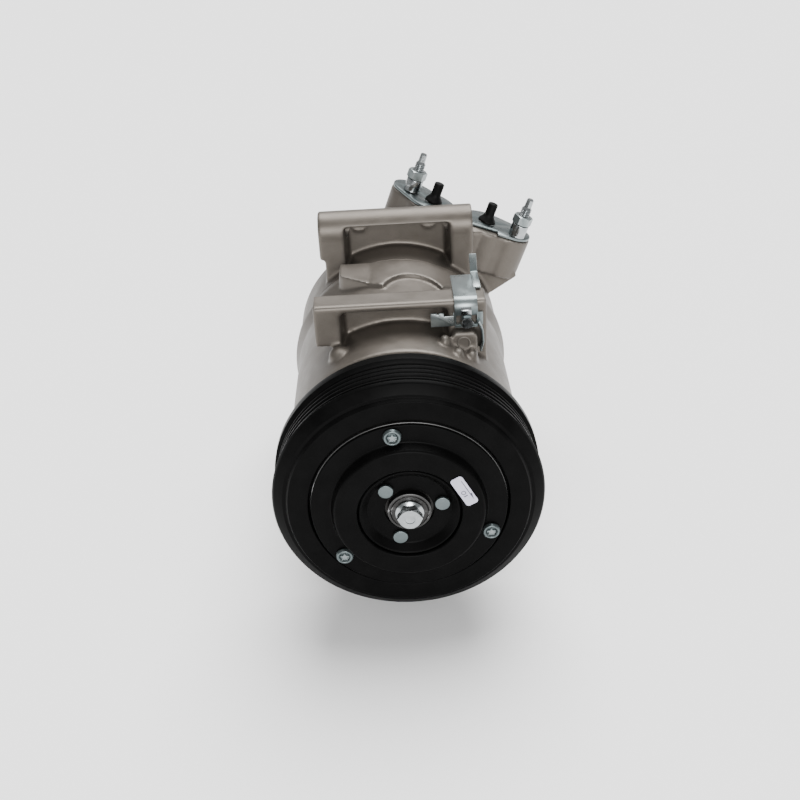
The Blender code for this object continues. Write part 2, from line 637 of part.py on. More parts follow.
def make_rear_housing(mats, frame):
    """Rear housing: barrel, lugs, manifold and closed end."""
    lugs_y = (REAR_LUG_CENTRE[0] - REAR_LUG_R, REAR_LUG_CENTRE[0] + REAR_LUG_R)
    body = union(rear_body(), rear_upper_lug(), lower_lug(lugs_y), manifold())
    body = cut(body, rod_y(0.0, 0.0, CHAMBER_R, PARTING_Y - 5.0, 180.0, LARGE),
               rod_y(0.0, 0.0, 39.0, 170.0, 203.0, LARGE))
    holes = [rod_x(REAR_LUG_CENTRE[0], z, LUG_HOLE_R, -60.0, 60.0)
             for z in (REAR_LUG_CENTRE[1], LOWER_HOLE_Z)]
    for angle in HOUSING_BOLT_ANGLES:
        x, z = on_circle(BOLT_CIRCLE_R, angle)
        holes.append(rod_y(x, z, 3.3, PARTING_Y - 1.0, REAR_SHOULDER_Y + 1.0))
    add_object("rear_housing", cut(body, *holes, *manifold_holes()), mats["cast_alloy"], frame)


def rear_body():
    """The turned part of the rear housing, still solid."""
    return turned([(0.0, PARTING_Y), (REAR_R, PARTING_Y), (REAR_R, 179.5),
                   (56.8, REAR_SHOULDER_Y), (46.8, REAR_SHOULDER_Y), (45.6, 204.0),
                   (40.0, REAR_END_Y), (0.0, REAR_END_Y)], LARGE)


def make_housing_bolts(mats, frame):
    """Through bolts that clamp the two housings together, put in from the rear."""
    for k, angle in enumerate(HOUSING_BOLT_ANGLES):
        centre = on_circle(BOLT_CIRCLE_R, angle)
        shank = rod_y(centre[0], centre[1], 3.0, 124.0, REAR_SHOULDER_Y + 1.0)
        head = prism(circle(centre, 5.6, 6), REAR_SHOULDER_Y + GAP, REAR_SHOULDER_Y + 6.0, ALONG_Y)
        add_object(f"housing_bolt_{k + 1}", union(shank, head), mats["zinc"], frame)


# ---------------------------------------------------------------- fittings on the outside
def make_bracket(mats, frame):
    """Bent sheet-metal connector bracket on the front lug, and its bolt."""
    x0, x1 = BRACKET_X
    y_front = FRONT_LUG_Y[0] - GAP - BRACKET_T
    z_top = FRONT_LUG_TOP + GAP
    top = block((x0, x1), (y_front, 88.0), (z_top, z_top + BRACKET_T))
    face = block((x0, x1 + 1.5), (y_front, y_front + BRACKET_T), (58.6, z_top + BRACKET_T - 0.2))
    arm = block((15.2, x0 + 2.0), (y_front, y_front + BRACKET_T), (59.2, 66.2))
    leg = block((x1 + 0.2, x1 + 1.5), (y_front - 4.0, y_front + 0.6), (47.5, 62.0))
    wing = block((x1 - 1.0, x1 + 3.0), (75.0, 98.0), (z_top + 0.1, z_top + BRACKET_T + 0.1))
    tongue = block((x1 - 1.0, x1 + 3.0), (98.0 - BRACKET_T, 98.1), (z_top + 0.2, 80.6))
    body = union(top, face, arm, leg, wing, tongue)
    hole = rod_y(BRACKET_BOLT[0], BRACKET_BOLT[1], 2.4, y_front - 1.0, y_front + 3.0)
    windows = [block((x, x + 2.4), (y_front - 1.0, y_front + 3.0), (60.2, 65.4))
               for x in (x0 + 0.8, x1 - 2.8)]
    add_object("connector_bracket", cut(body, hole, *windows), mats["zinc"], frame)
    bx, bz = BRACKET_BOLT
    shank = rod_y(bx, bz, 2.1, y_front - 2.0, 66.0)
    head = prism(circle((bx, bz), 3.1, 6), y_front - 3.4, y_front - GAP, ALONG_Y)
    add_object("bracket_bolt", union(shank, head), mats["bright_steel"], frame)


def port_hole(place, radius):
    """A cutter through everything that stands on the manifold."""
    return prism(circle(place, radius, SMALL), -1.0, 30.0, manifold_frame())


def make_port_fittings(mats, frame):
    """Blanking plates, studs, spacers, nuts and rubber plugs on the manifold."""
    top = manifold_frame()
    for side in SIDES:
        stud, port = STUD_PLACE[side], PORT_PLACE[side]
        plate = prism(pad_outline(side, -0.4), GAP, GAP + PLATE_T, top)
        plate = cut(plate, plate_trim(), port_hole(stud, 3.4), port_hole(port, 3.2))
        add_object(f"blanking_plate_{side}", plate, mats["zinc"], frame)
        low = 2 * GAP + PLATE_T
        sleeve = prism(circle(stud, 5.0, MEDIUM), low, low + SLEEVE_H, top)
        sleeve = cut(sleeve, port_hole(stud, 3.4))
        add_object(f"stud_sleeve_{side}", sleeve, mats["bright_steel"], frame)
        low += SLEEVE_H + GAP
        nut = cut(prism(circle(stud, 5.77, 6), low, low + NUT_H, top), port_hole(stud, 3.4))
        add_object(f"stud_nut_{side}", nut, mats["zinc"], frame)
        place_turned(f"manifold_stud_{side}", stud_profile(), stud, mats["bright_steel"], frame)
        place_turned(f"port_plug_{side}", plug_profile(), port, mats["rubber_black"], frame)


def plate_trim():
    """Room for the rear lug's bolt boss beside a plate, straight up from the boss's middle."""
    y, z = REAR_LUG_CENTRE
    reach = REAR_LUG_R + 2 * GAP
    below = block((-60.0, 60.0), (y, y + reach), (z - 15.0, z))
    return union(rod_x(y, z, reach, -60.0, 60.0), below)


def stud_profile():
    """Stud with a reduced driving end."""
    return [(0.0, -13.5), (3.0, -13.5), (3.0, 19.0), (2.5, 20.0), (2.0, 21.0), (2.0, 24.6),
            (1.6, 25.2), (0.0, 25.2)]


def plug_profile():
    """Rubber plug: stem in the port, flared foot on the plate and a blunt grip."""
    return [(0.0, -8.0), (2.8, -8.0), (2.8, 2.2), (5.2, 2.2), (5.0, 3.4), (3.4, 5.4), (2.9, 6.4),
            (2.9, 13.0), (2.4, 13.6), (0.0, 13.6)]


def place_turned(name, profile, place, mat, frame):
    """Stand a turned piece on the manifold at place, its axis along the face's normal."""
    bm = turned(profile, SMALL)
    stand = manifold_frame() @ Matrix.Translation((*place, 0.0)) @ ALONG_Y.inverted()
    bmesh.ops.transform(bm, verts=bm.verts, matrix=stand)
    add_object(name, bm, mat, frame)


# ---------------------------------------------------------------- assembly
def world_bounds():
    """Lowest and highest corners of all mesh objects."""
    bpy.context.view_layer.update()
    corners = []
    for obj in bpy.context.scene.objects:
        if obj.type == "MESH":
            corners += [obj.matrix_world @ v.co for v in obj.data.vertices]
    low = Vector([min(c[i] for c in corners) for i in range(3)])
    high = Vector([max(c[i] for c in corners) for i in range(3)])
    return low, high


def main():
    for obj in list(bpy.data.objects):
        bpy.data.objects.remove(obj)
    mats = make_materials()
    frame = add_empty("compressor", None)
    pulley = add_empty("pulley_axis", frame)
    pulley_cage = add_empty("pulley_cage_axis", frame)
    shaft = add_empty("shaft_axis", frame)
    armature = add_empty("armature_slide", shaft)
    main_cage = add_empty("main_cage_axis", frame)
    orbit = add_empty("orbit_axis", shaft, (ORBIT_R, 0.0, 0.0))

    make_pulley(mats, pulley)
    make_pulley_bearing(mats, frame, pulley_cage)
    make_coil(mats, frame)
    make_armature(mats, armature)
    make_hub(mats, shaft)
    make_shaft(mats, shaft)
    balls = ball_ring(16.6, 2.6, 50.0, 10, 40, 5)
    add_object("main_bearing_balls", balls, mats["bearing_steel"], main_cage)
    make_orbiting_scroll(mats, orbit)
    make_fixed_set(mats, frame)
    make_front_housing(mats, frame)
    make_rear_housing(mats, frame)
    make_housing_bolts(mats, frame)
    make_bracket(mats, frame)
    make_port_fittings(mats, frame)

    low, high = world_bounds()
    frame.location = (-(low.x + high.x) / 2, -(low.y + high.y) / 2, -low.z)


main()
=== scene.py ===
"""Looks of the belt-driven compressor and its electromagnetic clutch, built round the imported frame.

Shapes are modelled in millimetres about the shaft: the shaft axis is Y, the clutch faces -Y, and
Y = 0 is the pulley's front face. piece() turns them into the frame's metres.
"""
import json
import math

import bmesh
import bpy
from mathutils import Matrix, Vector


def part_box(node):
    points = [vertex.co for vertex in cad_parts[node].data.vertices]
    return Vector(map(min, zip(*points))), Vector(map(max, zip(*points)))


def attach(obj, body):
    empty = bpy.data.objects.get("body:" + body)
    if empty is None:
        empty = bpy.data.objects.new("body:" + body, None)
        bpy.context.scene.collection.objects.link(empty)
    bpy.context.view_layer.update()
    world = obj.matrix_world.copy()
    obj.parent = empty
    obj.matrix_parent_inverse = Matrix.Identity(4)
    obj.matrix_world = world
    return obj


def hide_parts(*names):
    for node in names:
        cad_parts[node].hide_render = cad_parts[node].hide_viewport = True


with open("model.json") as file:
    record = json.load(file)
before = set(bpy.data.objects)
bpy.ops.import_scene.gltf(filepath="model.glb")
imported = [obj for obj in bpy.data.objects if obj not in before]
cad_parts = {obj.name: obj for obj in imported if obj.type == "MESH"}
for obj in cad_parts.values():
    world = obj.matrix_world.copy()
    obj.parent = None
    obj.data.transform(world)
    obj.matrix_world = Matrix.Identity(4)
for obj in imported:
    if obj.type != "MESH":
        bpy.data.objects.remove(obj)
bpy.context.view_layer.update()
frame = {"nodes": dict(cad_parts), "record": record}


# ---------------------------------------------------------------- places taken from the frame
def middle(node):
    """The centre of a node's box, in metres."""
    low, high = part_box(node)
    return (Vector(low) + Vector(high)) / 2


MM = 0.001
SHAFT = Vector((middle("pulley_rotor").x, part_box("pulley_rotor")[0][1], middle("pulley_rotor").z))
TO_FRAME = Matrix.Translation(SHAFT) @ Matrix.Scale(MM, 4)


def local(point):
    """A point of the frame in millimetres about the shaft."""
    return (Vector(point) - SHAFT) / MM


def local_box(node):
    """A node's lowest and highest corners in millimetres about the shaft."""
    low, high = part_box(node)
    return local(low), local(high)


def across(low, high):
    """The X and Z of the middle of a box."""
    return (low.x + high.x) / 2, (low.z + high.z) / 2


# General
LARGE = 192                    # sides of a large, a medium and a small round
MEDIUM = 96
SMALL = 48
GAP = 0.3                      # clearance between parts that face each other
THROUGH = (-60.0, 60.0)        # long enough to pass through both ends of every lug
CAST_VOXEL = 0.8
CAST_PASSES = 7

# Pulley and clutch
PULLEY_R = 63.3
PULLEY_DEPTH = 30.6
FACE_RING_R = 46.3
RIM_INNER_R = 46.9
GROOVED_R = 61.9               # rib tips, just below the two flanges
GROOVE_DEPTH = 2.9
GROOVE_PITCH = 3.56
GROOVE_COUNT = 5
FIRST_GROOVE_Y = 8.95
FRICTION_Y = 4.6
SLOT_COUNT = 6
ARMATURE_R = 45.2
PLATEAU_Y = -6.5               # the raised ring of the stamped front plate
OUTER_HEAD_R = 4.2
INNER_HEAD_R = 3.45
LABEL_TILT = -61.0             # degrees
INK_T = 0.03

# Housings
NOSE_R = 17.3
BARREL_R = 57.5
REAR_R = 58.6
RIM_Y = 147.6
PARTING_Y = 148.0
SHOULDER_Y = 184.0
REAR_END_Y = 209.0
CHAMBER_R = 46.5
BOLT_ANGLES = (109.0, 169.0, 229.0, 289.0, 349.0)
BOSS_ANGLES = (229.0, 289.0)   # the lower two bolts have bosses that stand out of the barrel
BOLT_CIRCLE_R = 53.0
BOLT_HOLE_R = 3.4
LUG_X = (-41.0, 42.3)
LUG_HOLE_R = 4.5
FRONT_LUG_Y = (63.6, 78.3)
FRONT_LUG_TOP = 72.0
FRONT_HOLE = (71.5, 61.5)      # Y and Z of the bolt hole through the front upper lug
FRONT_POCKET_X = (-28.6, 24.0)
REAR_POCKET_X = (-28.3, 31.8)
REAR_LUG = (167.0, 70.9)
REAR_LUG_R = 10.8
LOWER_LUG_BOTTOM = -74.8
LOWER_HOLE_Z = -64.5

# Manifold
TILT = math.radians(21.0)
MANIFOLD = (Matrix.Translation((39.7, 190.0, 66.7)) @ Matrix.Rotation(TILT, 4, "Y"))
SIDES = ("left", "right")
STUD = {"left": (-30.5, 11.5), "right": (32.7, -11.3)}
PORT = {"left": (-17.3, 4.0), "right": (15.4, -2.3)}
PAD = {"left": ((-18.0, 6.0), 15.0, (-29.0, 18.0), 12.5),
       "right": ((17.0, -1.0), 16.0, (30.0, -3.5), 13.0)}
PAD_DEPTH = {"left": 38.0, "right": 24.0}
PLATE_T = 1.6
SLEEVE_H = 7.4
NUT_H = 5.0
STUD_HOLE_R = 3.4
PLUG_HOLE_R = 3.2

# Connector bracket
BRACKET_T = 1.3
BRACKET_X = (26.6, 37.6)
BRACKET_SCREW = (32.5, 62.0)

# Camera and lights: the camera's place about the shaft, and angles in degrees
CAMERA_PLACE = (-1.6, -367.6, 276.7)
CAMERA_DOWN = 30.88
CAMERA_ROLL = -3.14
LIGHT_YAW = 8.0

# Outlines in X and Z are extruded along Y; outlines in Y and Z along X; in X and Y along Z.
ALONG_X = Matrix(((0, 0, 1, 0), (1, 0, 0, 0), (0, 1, 0, 0), (0, 0, 0, 1)))
ALONG_Y = Matrix(((1, 0, 0, 0), (0, 0, 1, 0), (0, 1, 0, 0), (0, 0, 0, 1)))
ALONG_Z = Matrix.Identity(4)


def stand_on(low, high):
    """A stand along Y through the middle of a box."""
    x, z = across(low, high)
    return Matrix.Translation((x, 0.0, z)) @ ALONG_Y


# ---------------------------------------------------------------- outlines
def arc(centre, radius, start, end, steps):
    """Points on an arc, angles in degrees, both ends included."""
    points = []
    for k in range(steps + 1):
        a = math.radians(start + (end - start) * k / steps)
        points.append((centre[0] + radius * math.cos(a), centre[1] + radius * math.sin(a)))
    return points


def circle(centre, radius, steps):
    """A full circle of points."""
    return arc(centre, radius, 0.0, 360.0 * (steps - 1) / steps, steps - 1)


def rounded(points, steps=6):
    """A closed outline whose points are (a, b) or (a, b, radius of that corner)."""
    outline = []
    for k, point in enumerate(points):
        corner = Vector(point[:2])
        if len(point) == 2:
            outline.append(tuple(corner))
            continue
        back = (Vector(points[k - 1][:2]) - corner).normalized()
        ahead = (Vector(points[(k + 1) % len(points)][:2]) - corner).normalized()
        half = back.angle(ahead) / 2
        centre = corner + (back + ahead).normalized() * point[2] / math.sin(half)
        reach = point[2] / math.tan(half)
        start = corner + back * reach - centre
        turn = start.angle_signed(corner + ahead * reach - centre)
        first = math.atan2(start.y, start.x)
        for i in range(steps + 1):
            a = first - turn * i / steps
            outline.append((centre.x + point[2] * math.cos(a), centre.y + point[2] * math.sin(a)))
    return outline


def rounded_box(width, height, radius, centre=(0.0, 0.0)):
    """A rectangle with round corners."""
    points = []
    for k, (sx, sy) in enumerate(((1, 1), (-1, 1), (-1, -1), (1, -1))):
        corner = (centre[0] + sx * (width / 2 - radius), centre[1] + sy * (height / 2 - radius))
        points += arc(corner, radius, 90.0 * k, 90.0 * (k + 1), 8)
    return points


def hull(centre_a, radius_a, centre_b, radius_b):
    """Outline of two circles joined by their outer tangents."""
    reach = Vector(centre_b) - Vector(centre_a)
    along = math.degrees(math.atan2(reach.y, reach.x))
    spread = math.degrees(math.acos((radius_a - radius_b) / reach.length))
    near_b = arc(centre_b, radius_b, along - spread, along + spread, 24)
    near_a = arc(centre_a, radius_a, along + spread, along + 360.0 - spread, 24)
    return near_b + near_a


def on_circle(radius, degrees):
    """The X and Z of a point on a circle about the shaft."""
    a = math.radians(degrees)
    return radius * math.cos(a), radius * math.sin(a)


def star(centre, inner_r, outer_r, tips):
    """A star-shaped outline."""
    points = []
    for k in range(2 * tips):
        x, z = on_circle(outer_r if k % 2 else inner_r, 180.0 * k / tips + 54.0)
        points.append((centre[0] + x, centre[1] + z))
    return points


# ---------------------------------------------------------------- solids
def turned(profile, segments, centre=(0.0, 0.0)):
    """Turn a profile of (radius, y) points about a Y axis through centre (x, z)."""
    bm = bmesh.new()
    rings = []
    for radius, y in profile:
        if radius < 1e-6:
            rings.append([bm.verts.new((centre[0], y, centre[1]))])
            continue
        ring = []
        for k in range(segments):
            x, z = on_circle(radius, 360.0 * k / segments)
            ring.append(bm.verts.new((centre[0] + x, y, centre[1] + z)))
        rings.append(ring)
    pairs = list(zip(rings, rings[1:]))
    if len(rings[0]) > 1:
        pairs.append((rings[-1], rings[0]))
    for ring_a, ring_b in pairs:
        for k in range(segments):
            n = (k + 1) % segments
            corners = [ring_a[k % len(ring_a)], ring_a[n % len(ring_a)],
                       ring_b[n % len(ring_b)], ring_b[k % len(ring_b)]]
            bm.faces.new(list(dict.fromkeys(corners)))
    bmesh.ops.recalc_face_normals(bm, faces=bm.faces)
    return bm


def prism(outline, low, high, stand=ALONG_Z):
    """Extrude an outline from low to high along stand's third axis."""
    bm = bmesh.new()
    lower = [bm.verts.new((a, b, low)) for a, b in outline]
    upper = [bm.verts.new((a, b, high)) for a, b in outline]
    bm.faces.new(lower)
    bm.faces.new(upper)
    for k in range(len(outline)):
        n = (k + 1) % len(outline)
        bm.faces.new((lower[k], lower[n], upper[n], upper[k]))
    bmesh.ops.transform(bm, verts=bm.verts, matrix=stand)
    bmesh.ops.recalc_face_normals(bm, faces=bm.faces)
    return bm


def block(x, y, z):
    """A box between pairs of limits."""
    return prism([(x[0], y[0]), (x[1], y[0]), (x[1], y[1]), (x[0], y[1])], z[0], z[1])


def rod_x(y, z, radius, x0, x1, steps=SMALL):
    """A cylinder along X."""
    return prism(circle((y, z), radius, steps), x0, x1, ALONG_X)


def rod_y(x, z, radius, y0, y1, steps=SMALL):
    """A cylinder along Y."""
    return prism(circle((x, z), radius, steps), y0, y1, ALONG_Y)


def as_object(bm, name="part"):
    """A loose object made from a bmesh."""
    mesh = bpy.data.meshes.new(name)
    bm.to_mesh(mesh)
    bm.free()
    obj = bpy.data.objects.new(name, mesh)
    bpy.context.scene.collection.objects.link(obj)
    return obj


def applied(obj):
    """The evaluated mesh of an object as a bmesh; the object is removed."""
    graph = bpy.context.evaluated_depsgraph_get()
    result = bmesh.new()
    result.from_mesh(obj.evaluated_get(graph).to_mesh())
    mesh = obj.data
    bpy.data.objects.remove(obj)
    bpy.data.meshes.remove(mesh)
    return result


def boolean(bm_a, bm_b, operation):
    """Union, difference or intersection of two closed bmeshes."""
    first, second = as_object(bm_a), as_object(bm_b)
    modifier = first.modifiers.new("boolean", "BOOLEAN")
    modifier.object = second
    modifier.operation = operation
    result = applied(first)
    mesh = second.data
    bpy.data.objects.remove(second)
    bpy.data.meshes.remove(mesh)
    return result


def union(first, *others):
    """One body from several overlapping ones."""
    for other in others:
        first = boolean(first, other, "UNION")
    return first


def cut(first, *cutters):
    """Take cutters away from a body."""
    for cutter in cutters:
        first = boolean(first, cutter, "DIFFERENCE")
    return first


def joined(parts):
    """Several bmeshes as one, with no boolean between them."""
    whole = bmesh.new()
    for part in parts:
        mesh = bpy.data.meshes.new("joined")
        part.to_mesh(mesh)
        part.free()
        whole.from_mesh(mesh)
        bpy.data.meshes.remove(mesh)
    return whole


def cast_shape(parts):
    """Fuse overlapping shapes and smooth them, which rounds every corner as casting does."""
    obj = as_object(joined(parts))
    remesh = obj.modifiers.new("even", "REMESH")
    remesh.mode = "VOXEL"
    remesh.voxel_size = CAST_VOXEL
    smooth = obj.modifiers.new("fillets", "SMOOTH")
    smooth.factor = 0.5
    smooth.iterations = CAST_PASSES
    return applied(obj)


def softened(bm, width):
    """Round a body's sharp edges with a bevel."""
    obj = as_object(bm)
    bevel = obj.modifiers.new("edges", "BEVEL")
    bevel.width = width
    bevel.segments = 2
    bevel.limit_method = "ANGLE"
    bevel.angle_limit = math.radians(30.0)
    return applied(obj)


# ---------------------------------------------------------------- pieces
def piece(name, bm, mat, body, slot, *nodes, stand=None, sharp=35.0):
    """Finish a shape in millimetres as a named piece that rides on a body and replaces nodes."""
    if stand is not None:
        bmesh.ops.transform(bm, verts=bm.verts, matrix=stand)
    bmesh.ops.transform(bm, verts=bm.verts, matrix=TO_FRAME)
    bmesh.ops.remove_doubles(bm, verts=bm.verts, dist=1e-7)
    bmesh.ops.recalc_face_normals(bm, faces=bm.faces)
    obj = as_object(bm, name)
    obj.data.materials.clear()
    obj.data.materials.append(mat)
    obj.data.shade_smooth()
    obj.data.set_sharp_from_angle(angle=math.radians(sharp))
    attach(obj, body)
    if nodes:
        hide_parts(*nodes)
    return obj


# ---------------------------------------------------------------- materials
def add_node(tree, kind, values=None, **settings):
    """Add a shader node, set its properties, and set or link its inputs."""
    made = tree.nodes.new(kind)
    for key, value in settings.items():
        setattr(made, key, value)
    for key, value in (values or {}).items():
        if isinstance(value, bpy.types.NodeSocket):
            tree.links.new(value, made.inputs[key])
        else:
            made.inputs[key].default_value = value
    return made


def noise(tree, place, size_mm, detail=4.0, roughness=0.55):
    """Noise whose blotches are about size_mm across."""
    values = {"Vector": place, "Scale": 1.0 / (size_mm * MM), "Detail": detail,
              "Roughness": roughness}
    return add_node(tree, "ShaderNodeTexNoise", values).outputs["Fac"]


def span(tree, value, low, high, source=(0.3, 0.7)):
    """Map a value from the source range to low..high."""
    values = {"Value": value, "From Min": source[0], "From Max": source[1], "To Min": low,
              "To Max": high}
    return add_node(tree, "ShaderNodeMapRange", values).outputs["Result"]


def blend(tree, fac, first, second):
    """Mix two colours."""
    made = add_node(tree, "ShaderNodeMix", data_type="RGBA")
    for index, value in ((0, fac), (6, first), (7, second)):
        if isinstance(value, bpy.types.NodeSocket):
            tree.links.new(value, made.inputs[index])
        else:
            made.inputs[index].default_value = value
    return made.outputs[2]


def rgb(red, green, blue):
    """A colour with full alpha."""
    return (red, green, blue, 1.0)


def finish(name, dark, light, metallic, roughness, blotch_mm, grain_mm, depth_mm, edge=None,
           edge_highlight_at=(0.51, 0.58), rings=None, gloss=0.5):
    """A worn industrial surface: blotchy colour, uneven gloss and fine grain, with a painted
    highlight that lightens convex edges.
    """
    mat = bpy.data.materials.new(name)
    mat.use_nodes = True
    tree = mat.node_tree
    shader = tree.nodes["Principled BSDF"]
    place = add_node(tree, "ShaderNodeTexCoord").outputs["Object"]
    blotches = noise(tree, place, blotch_mm)
    grain = noise(tree, place, grain_mm, 3.0, 0.6)
    mix = add_node(tree, "ShaderNodeMath", operation="ADD")
    tree.links.new(span(tree, blotches, 0.0, 0.75), mix.inputs[0])
    tree.links.new(span(tree, grain, 0.0, 0.25), mix.inputs[1])
    colour = blend(tree, mix.outputs[0], dark, light)
    # Painted highlight: where pointiness marks a convex edge, the edge colour lightens the base
    # colour in place of light catching the rounded rim.
    if edge:
        point = add_node(tree, "ShaderNodeNewGeometry").outputs["Pointiness"]
        colour = blend(tree, span(tree, point, 0.0, 1.0, edge_highlight_at), colour, edge)
    tree.links.new(colour, shader.inputs["Base Color"])
    shader.inputs["Metallic"].default_value = metallic
    shader.inputs["Specular IOR Level"].default_value = gloss
    tree.links.new(span(tree, blotches, *roughness), shader.inputs["Roughness"])
    height = grain
    if rings:
        wave = add_node(tree, "ShaderNodeTexWave", {"Vector": place, "Scale": rings / MM / 20.0,
                                                    "Distortion": 0.4},
                        wave_type="RINGS", rings_direction="Y")
        height = wave.outputs["Fac"]
    bump = add_node(tree, "ShaderNodeBump", {"Height": height, "Strength": 1.0,
                                             "Distance": depth_mm * MM})
    tree.links.new(bump.outputs["Normal"], shader.inputs["Normal"])
    return mat


def make_materials():
    """Every surface on the object, under the name of its slot."""
    looks = {
        "cast_alloy": dict(
            dark=rgb(0.088, 0.077, 0.065), light=rgb(0.116, 0.103, 0.089), metallic=0.7,
            roughness=(0.40, 0.54), blotch_mm=14.0, grain_mm=0.55, depth_mm=0.05,
            # The edge colour is a painted highlight on the casting's convex edges.
            edge=rgb(0.17, 0.16, 0.145), edge_highlight_at=(0.52, 0.6)),
        "black_coat": dict(
            dark=rgb(0.0014, 0.0014, 0.0014), light=rgb(0.0028, 0.0028, 0.0028), metallic=0.0,
            roughness=(0.32, 0.42), blotch_mm=9.0, grain_mm=0.5, depth_mm=0.012, gloss=0.03),
        "bearing_steel": dict(
            dark=rgb(0.50, 0.50, 0.51), light=rgb(0.62, 0.62, 0.63), metallic=1.0,
            roughness=(0.16, 0.26), blotch_mm=6.0, grain_mm=0.2, depth_mm=0.003),
        "dark_steel": dict(
            dark=rgb(0.016, 0.0155, 0.015), light=rgb(0.034, 0.033, 0.032), metallic=0.9,
            roughness=(0.34, 0.5), blotch_mm=8.0, grain_mm=0.4, depth_mm=0.01,
            # The edge colour is a painted highlight on the steel's convex edges.
            edge=rgb(0.3, 0.3, 0.3)),
        "zinc": dict(
            dark=rgb(0.085, 0.104, 0.106), light=rgb(0.12, 0.142, 0.145), metallic=0.85,
            roughness=(0.24, 0.38), blotch_mm=7.0, grain_mm=0.3, depth_mm=0.006,
            # The edge colour is a painted highlight on the zinc parts' convex edges.
            edge=rgb(0.42, 0.46, 0.46), edge_highlight_at=(0.53, 0.62)),
        "bright_steel": dict(
            dark=rgb(0.27, 0.29, 0.295), light=rgb(0.40, 0.42, 0.425), metallic=1.0,
            roughness=(0.14, 0.26), blotch_mm=3.0, grain_mm=0.25, depth_mm=0.006),
        "copper_wire": dict(
            dark=rgb(0.35, 0.12, 0.05), light=rgb(0.55, 0.22, 0.10), metallic=0.8,
            roughness=(0.35, 0.5), blotch_mm=4.0, grain_mm=0.4, depth_mm=0.05, rings=1.2),
        "rubber_black": dict(
            dark=rgb(0.002, 0.002, 0.002), light=rgb(0.004, 0.004, 0.004), metallic=0.0,
            roughness=(0.45, 0.6), blotch_mm=3.0, grain_mm=0.25, depth_mm=0.02, gloss=0.08),
        "label_white": dict(
            dark=rgb(0.42, 0.41, 0.51), light=rgb(0.50, 0.49, 0.57), metallic=0.0,
            roughness=(0.35, 0.5), blotch_mm=6.0, grain_mm=0.3, depth_mm=0.002),
        "label_ink": dict(
            dark=rgb(0.03, 0.03, 0.05), light=rgb(0.05, 0.05, 0.08), metallic=0.0,
            roughness=(0.4, 0.5), blotch_mm=3.0, grain_mm=0.2, depth_mm=0.001),
        "machined_alloy": dict(
            dark=rgb(0.55, 0.55, 0.56), light=rgb(0.68, 0.68, 0.69), metallic=1.0,
            roughness=(0.2, 0.32), blotch_mm=8.0, grain_mm=0.3, depth_mm=0.005, rings=1.5),
    }
    return {name: finish(name, **look) for name, look in looks.items()}


# ---------------------------------------------------------------- pulley and clutch
def pulley_profile():
    """Section of the pulley with rounded lips and V grooves that have flat rib tips."""
    half_groove, half_floor = 1.25, 0.25
    floor_r = GROOVED_R - GROOVE_DEPTH
    corners = [(FACE_RING_R, 0.0, 0.4), (55.6, 0.0, 0.45), (56.7, 2.0, 0.4), (58.1, 2.1, 0.5),
               (62.4, 4.8, 1.5), (PULLEY_R, 6.4, 0.5)]
    for k in range(GROOVE_COUNT):
        y = FIRST_GROOVE_Y + k * GROOVE_PITCH
        corners += [(GROOVED_R, y - half_groove, 0.2), (floor_r, y - half_floor, 0.15),
                    (floor_r, y + half_floor, 0.15), (GROOVED_R, y + half_groove, 0.2)]
    last_groove = FIRST_GROOVE_Y + (GROOVE_COUNT - 1) * GROOVE_PITCH
    corners += [(PULLEY_R, last_groove + GROOVE_PITCH / 2 + 0.3, 0.3),
                (PULLEY_R, PULLEY_DEPTH, 0.7), (RIM_INNER_R, PULLEY_DEPTH, 0.4),
                (RIM_INNER_R, 10.0, 1.0), (31.2, 10.0, 1.0), (31.2, 30.2, 0.4),
                (27.8, 30.2, 0.4), (27.8, 9.0), (25.5, 9.0), (25.5, FRICTION_Y, 0.3),
                (FACE_RING_R, FRICTION_Y, 0.3)]
    return rounded(corners, 4)


def friction_slot(index):
    """One arc-shaped slot through the friction disc."""
    pitch, bridge = 360.0 / SLOT_COUNT, 8.0
    start, end = index * pitch + bridge, (index + 1) * pitch - bridge
    outline = arc((0, 0), 39.2, start, end, 14) + arc((0, 0), 37.2, end, start, 14)
    return prism(outline, FRICTION_Y - 1.0, 11.0, ALONG_Y)


def make_pulley(mats):
    """The belt pulley, which is also the clutch's rotor."""
    body = cut(turned(pulley_profile(), LARGE), *[friction_slot(k) for k in range(SLOT_COUNT)])
    piece("belt_pulley", body, mats["black_coat"], "pulley", "black_coat", "pulley_rotor")


def outer_rivet(node, mat):
    """A riveted head whose raised rim stands round a star-shaped punch mark."""
    low, high = local_box(node)
    centre = across(low, high)
    front, back = low.y, low.y + 1.9
    corners = [(0.0, front + 1.1), (2.1, front + 1.1, 0.2), (2.9, front, 0.35),
               (3.6, front + 0.1, 0.4), (OUTER_HEAD_R, front + 1.2, 0.4), (OUTER_HEAD_R, back, 0.2),
               (2.4, back), (2.4, high.y), (0.0, high.y)]
    body = turned(rounded(corners, 4), SMALL, centre)
    body = union(body, prism(star(centre, 1.0, 2.3, 5), front + 0.35, front + 1.4, ALONG_Y))
    piece(f"{node}_head", body, mat, "armature", "zinc", node, sharp=28.0)


def inner_rivet(node, mat):
    """A flat riveted head."""
    low, high = local_box(node)
    centre = across(low, high)
    corners = [(0.0, low.y), (INNER_HEAD_R, low.y, 0.35), (INNER_HEAD_R, low.y + 1.5, 0.2),
               (1.9, low.y + 1.5), (1.9, high.y), (0.0, high.y)]
    body = turned(rounded(corners, 4), SMALL, centre)
    piece(f"{node}_head", body, mat, "shaft", "zinc", node, sharp=28.0)


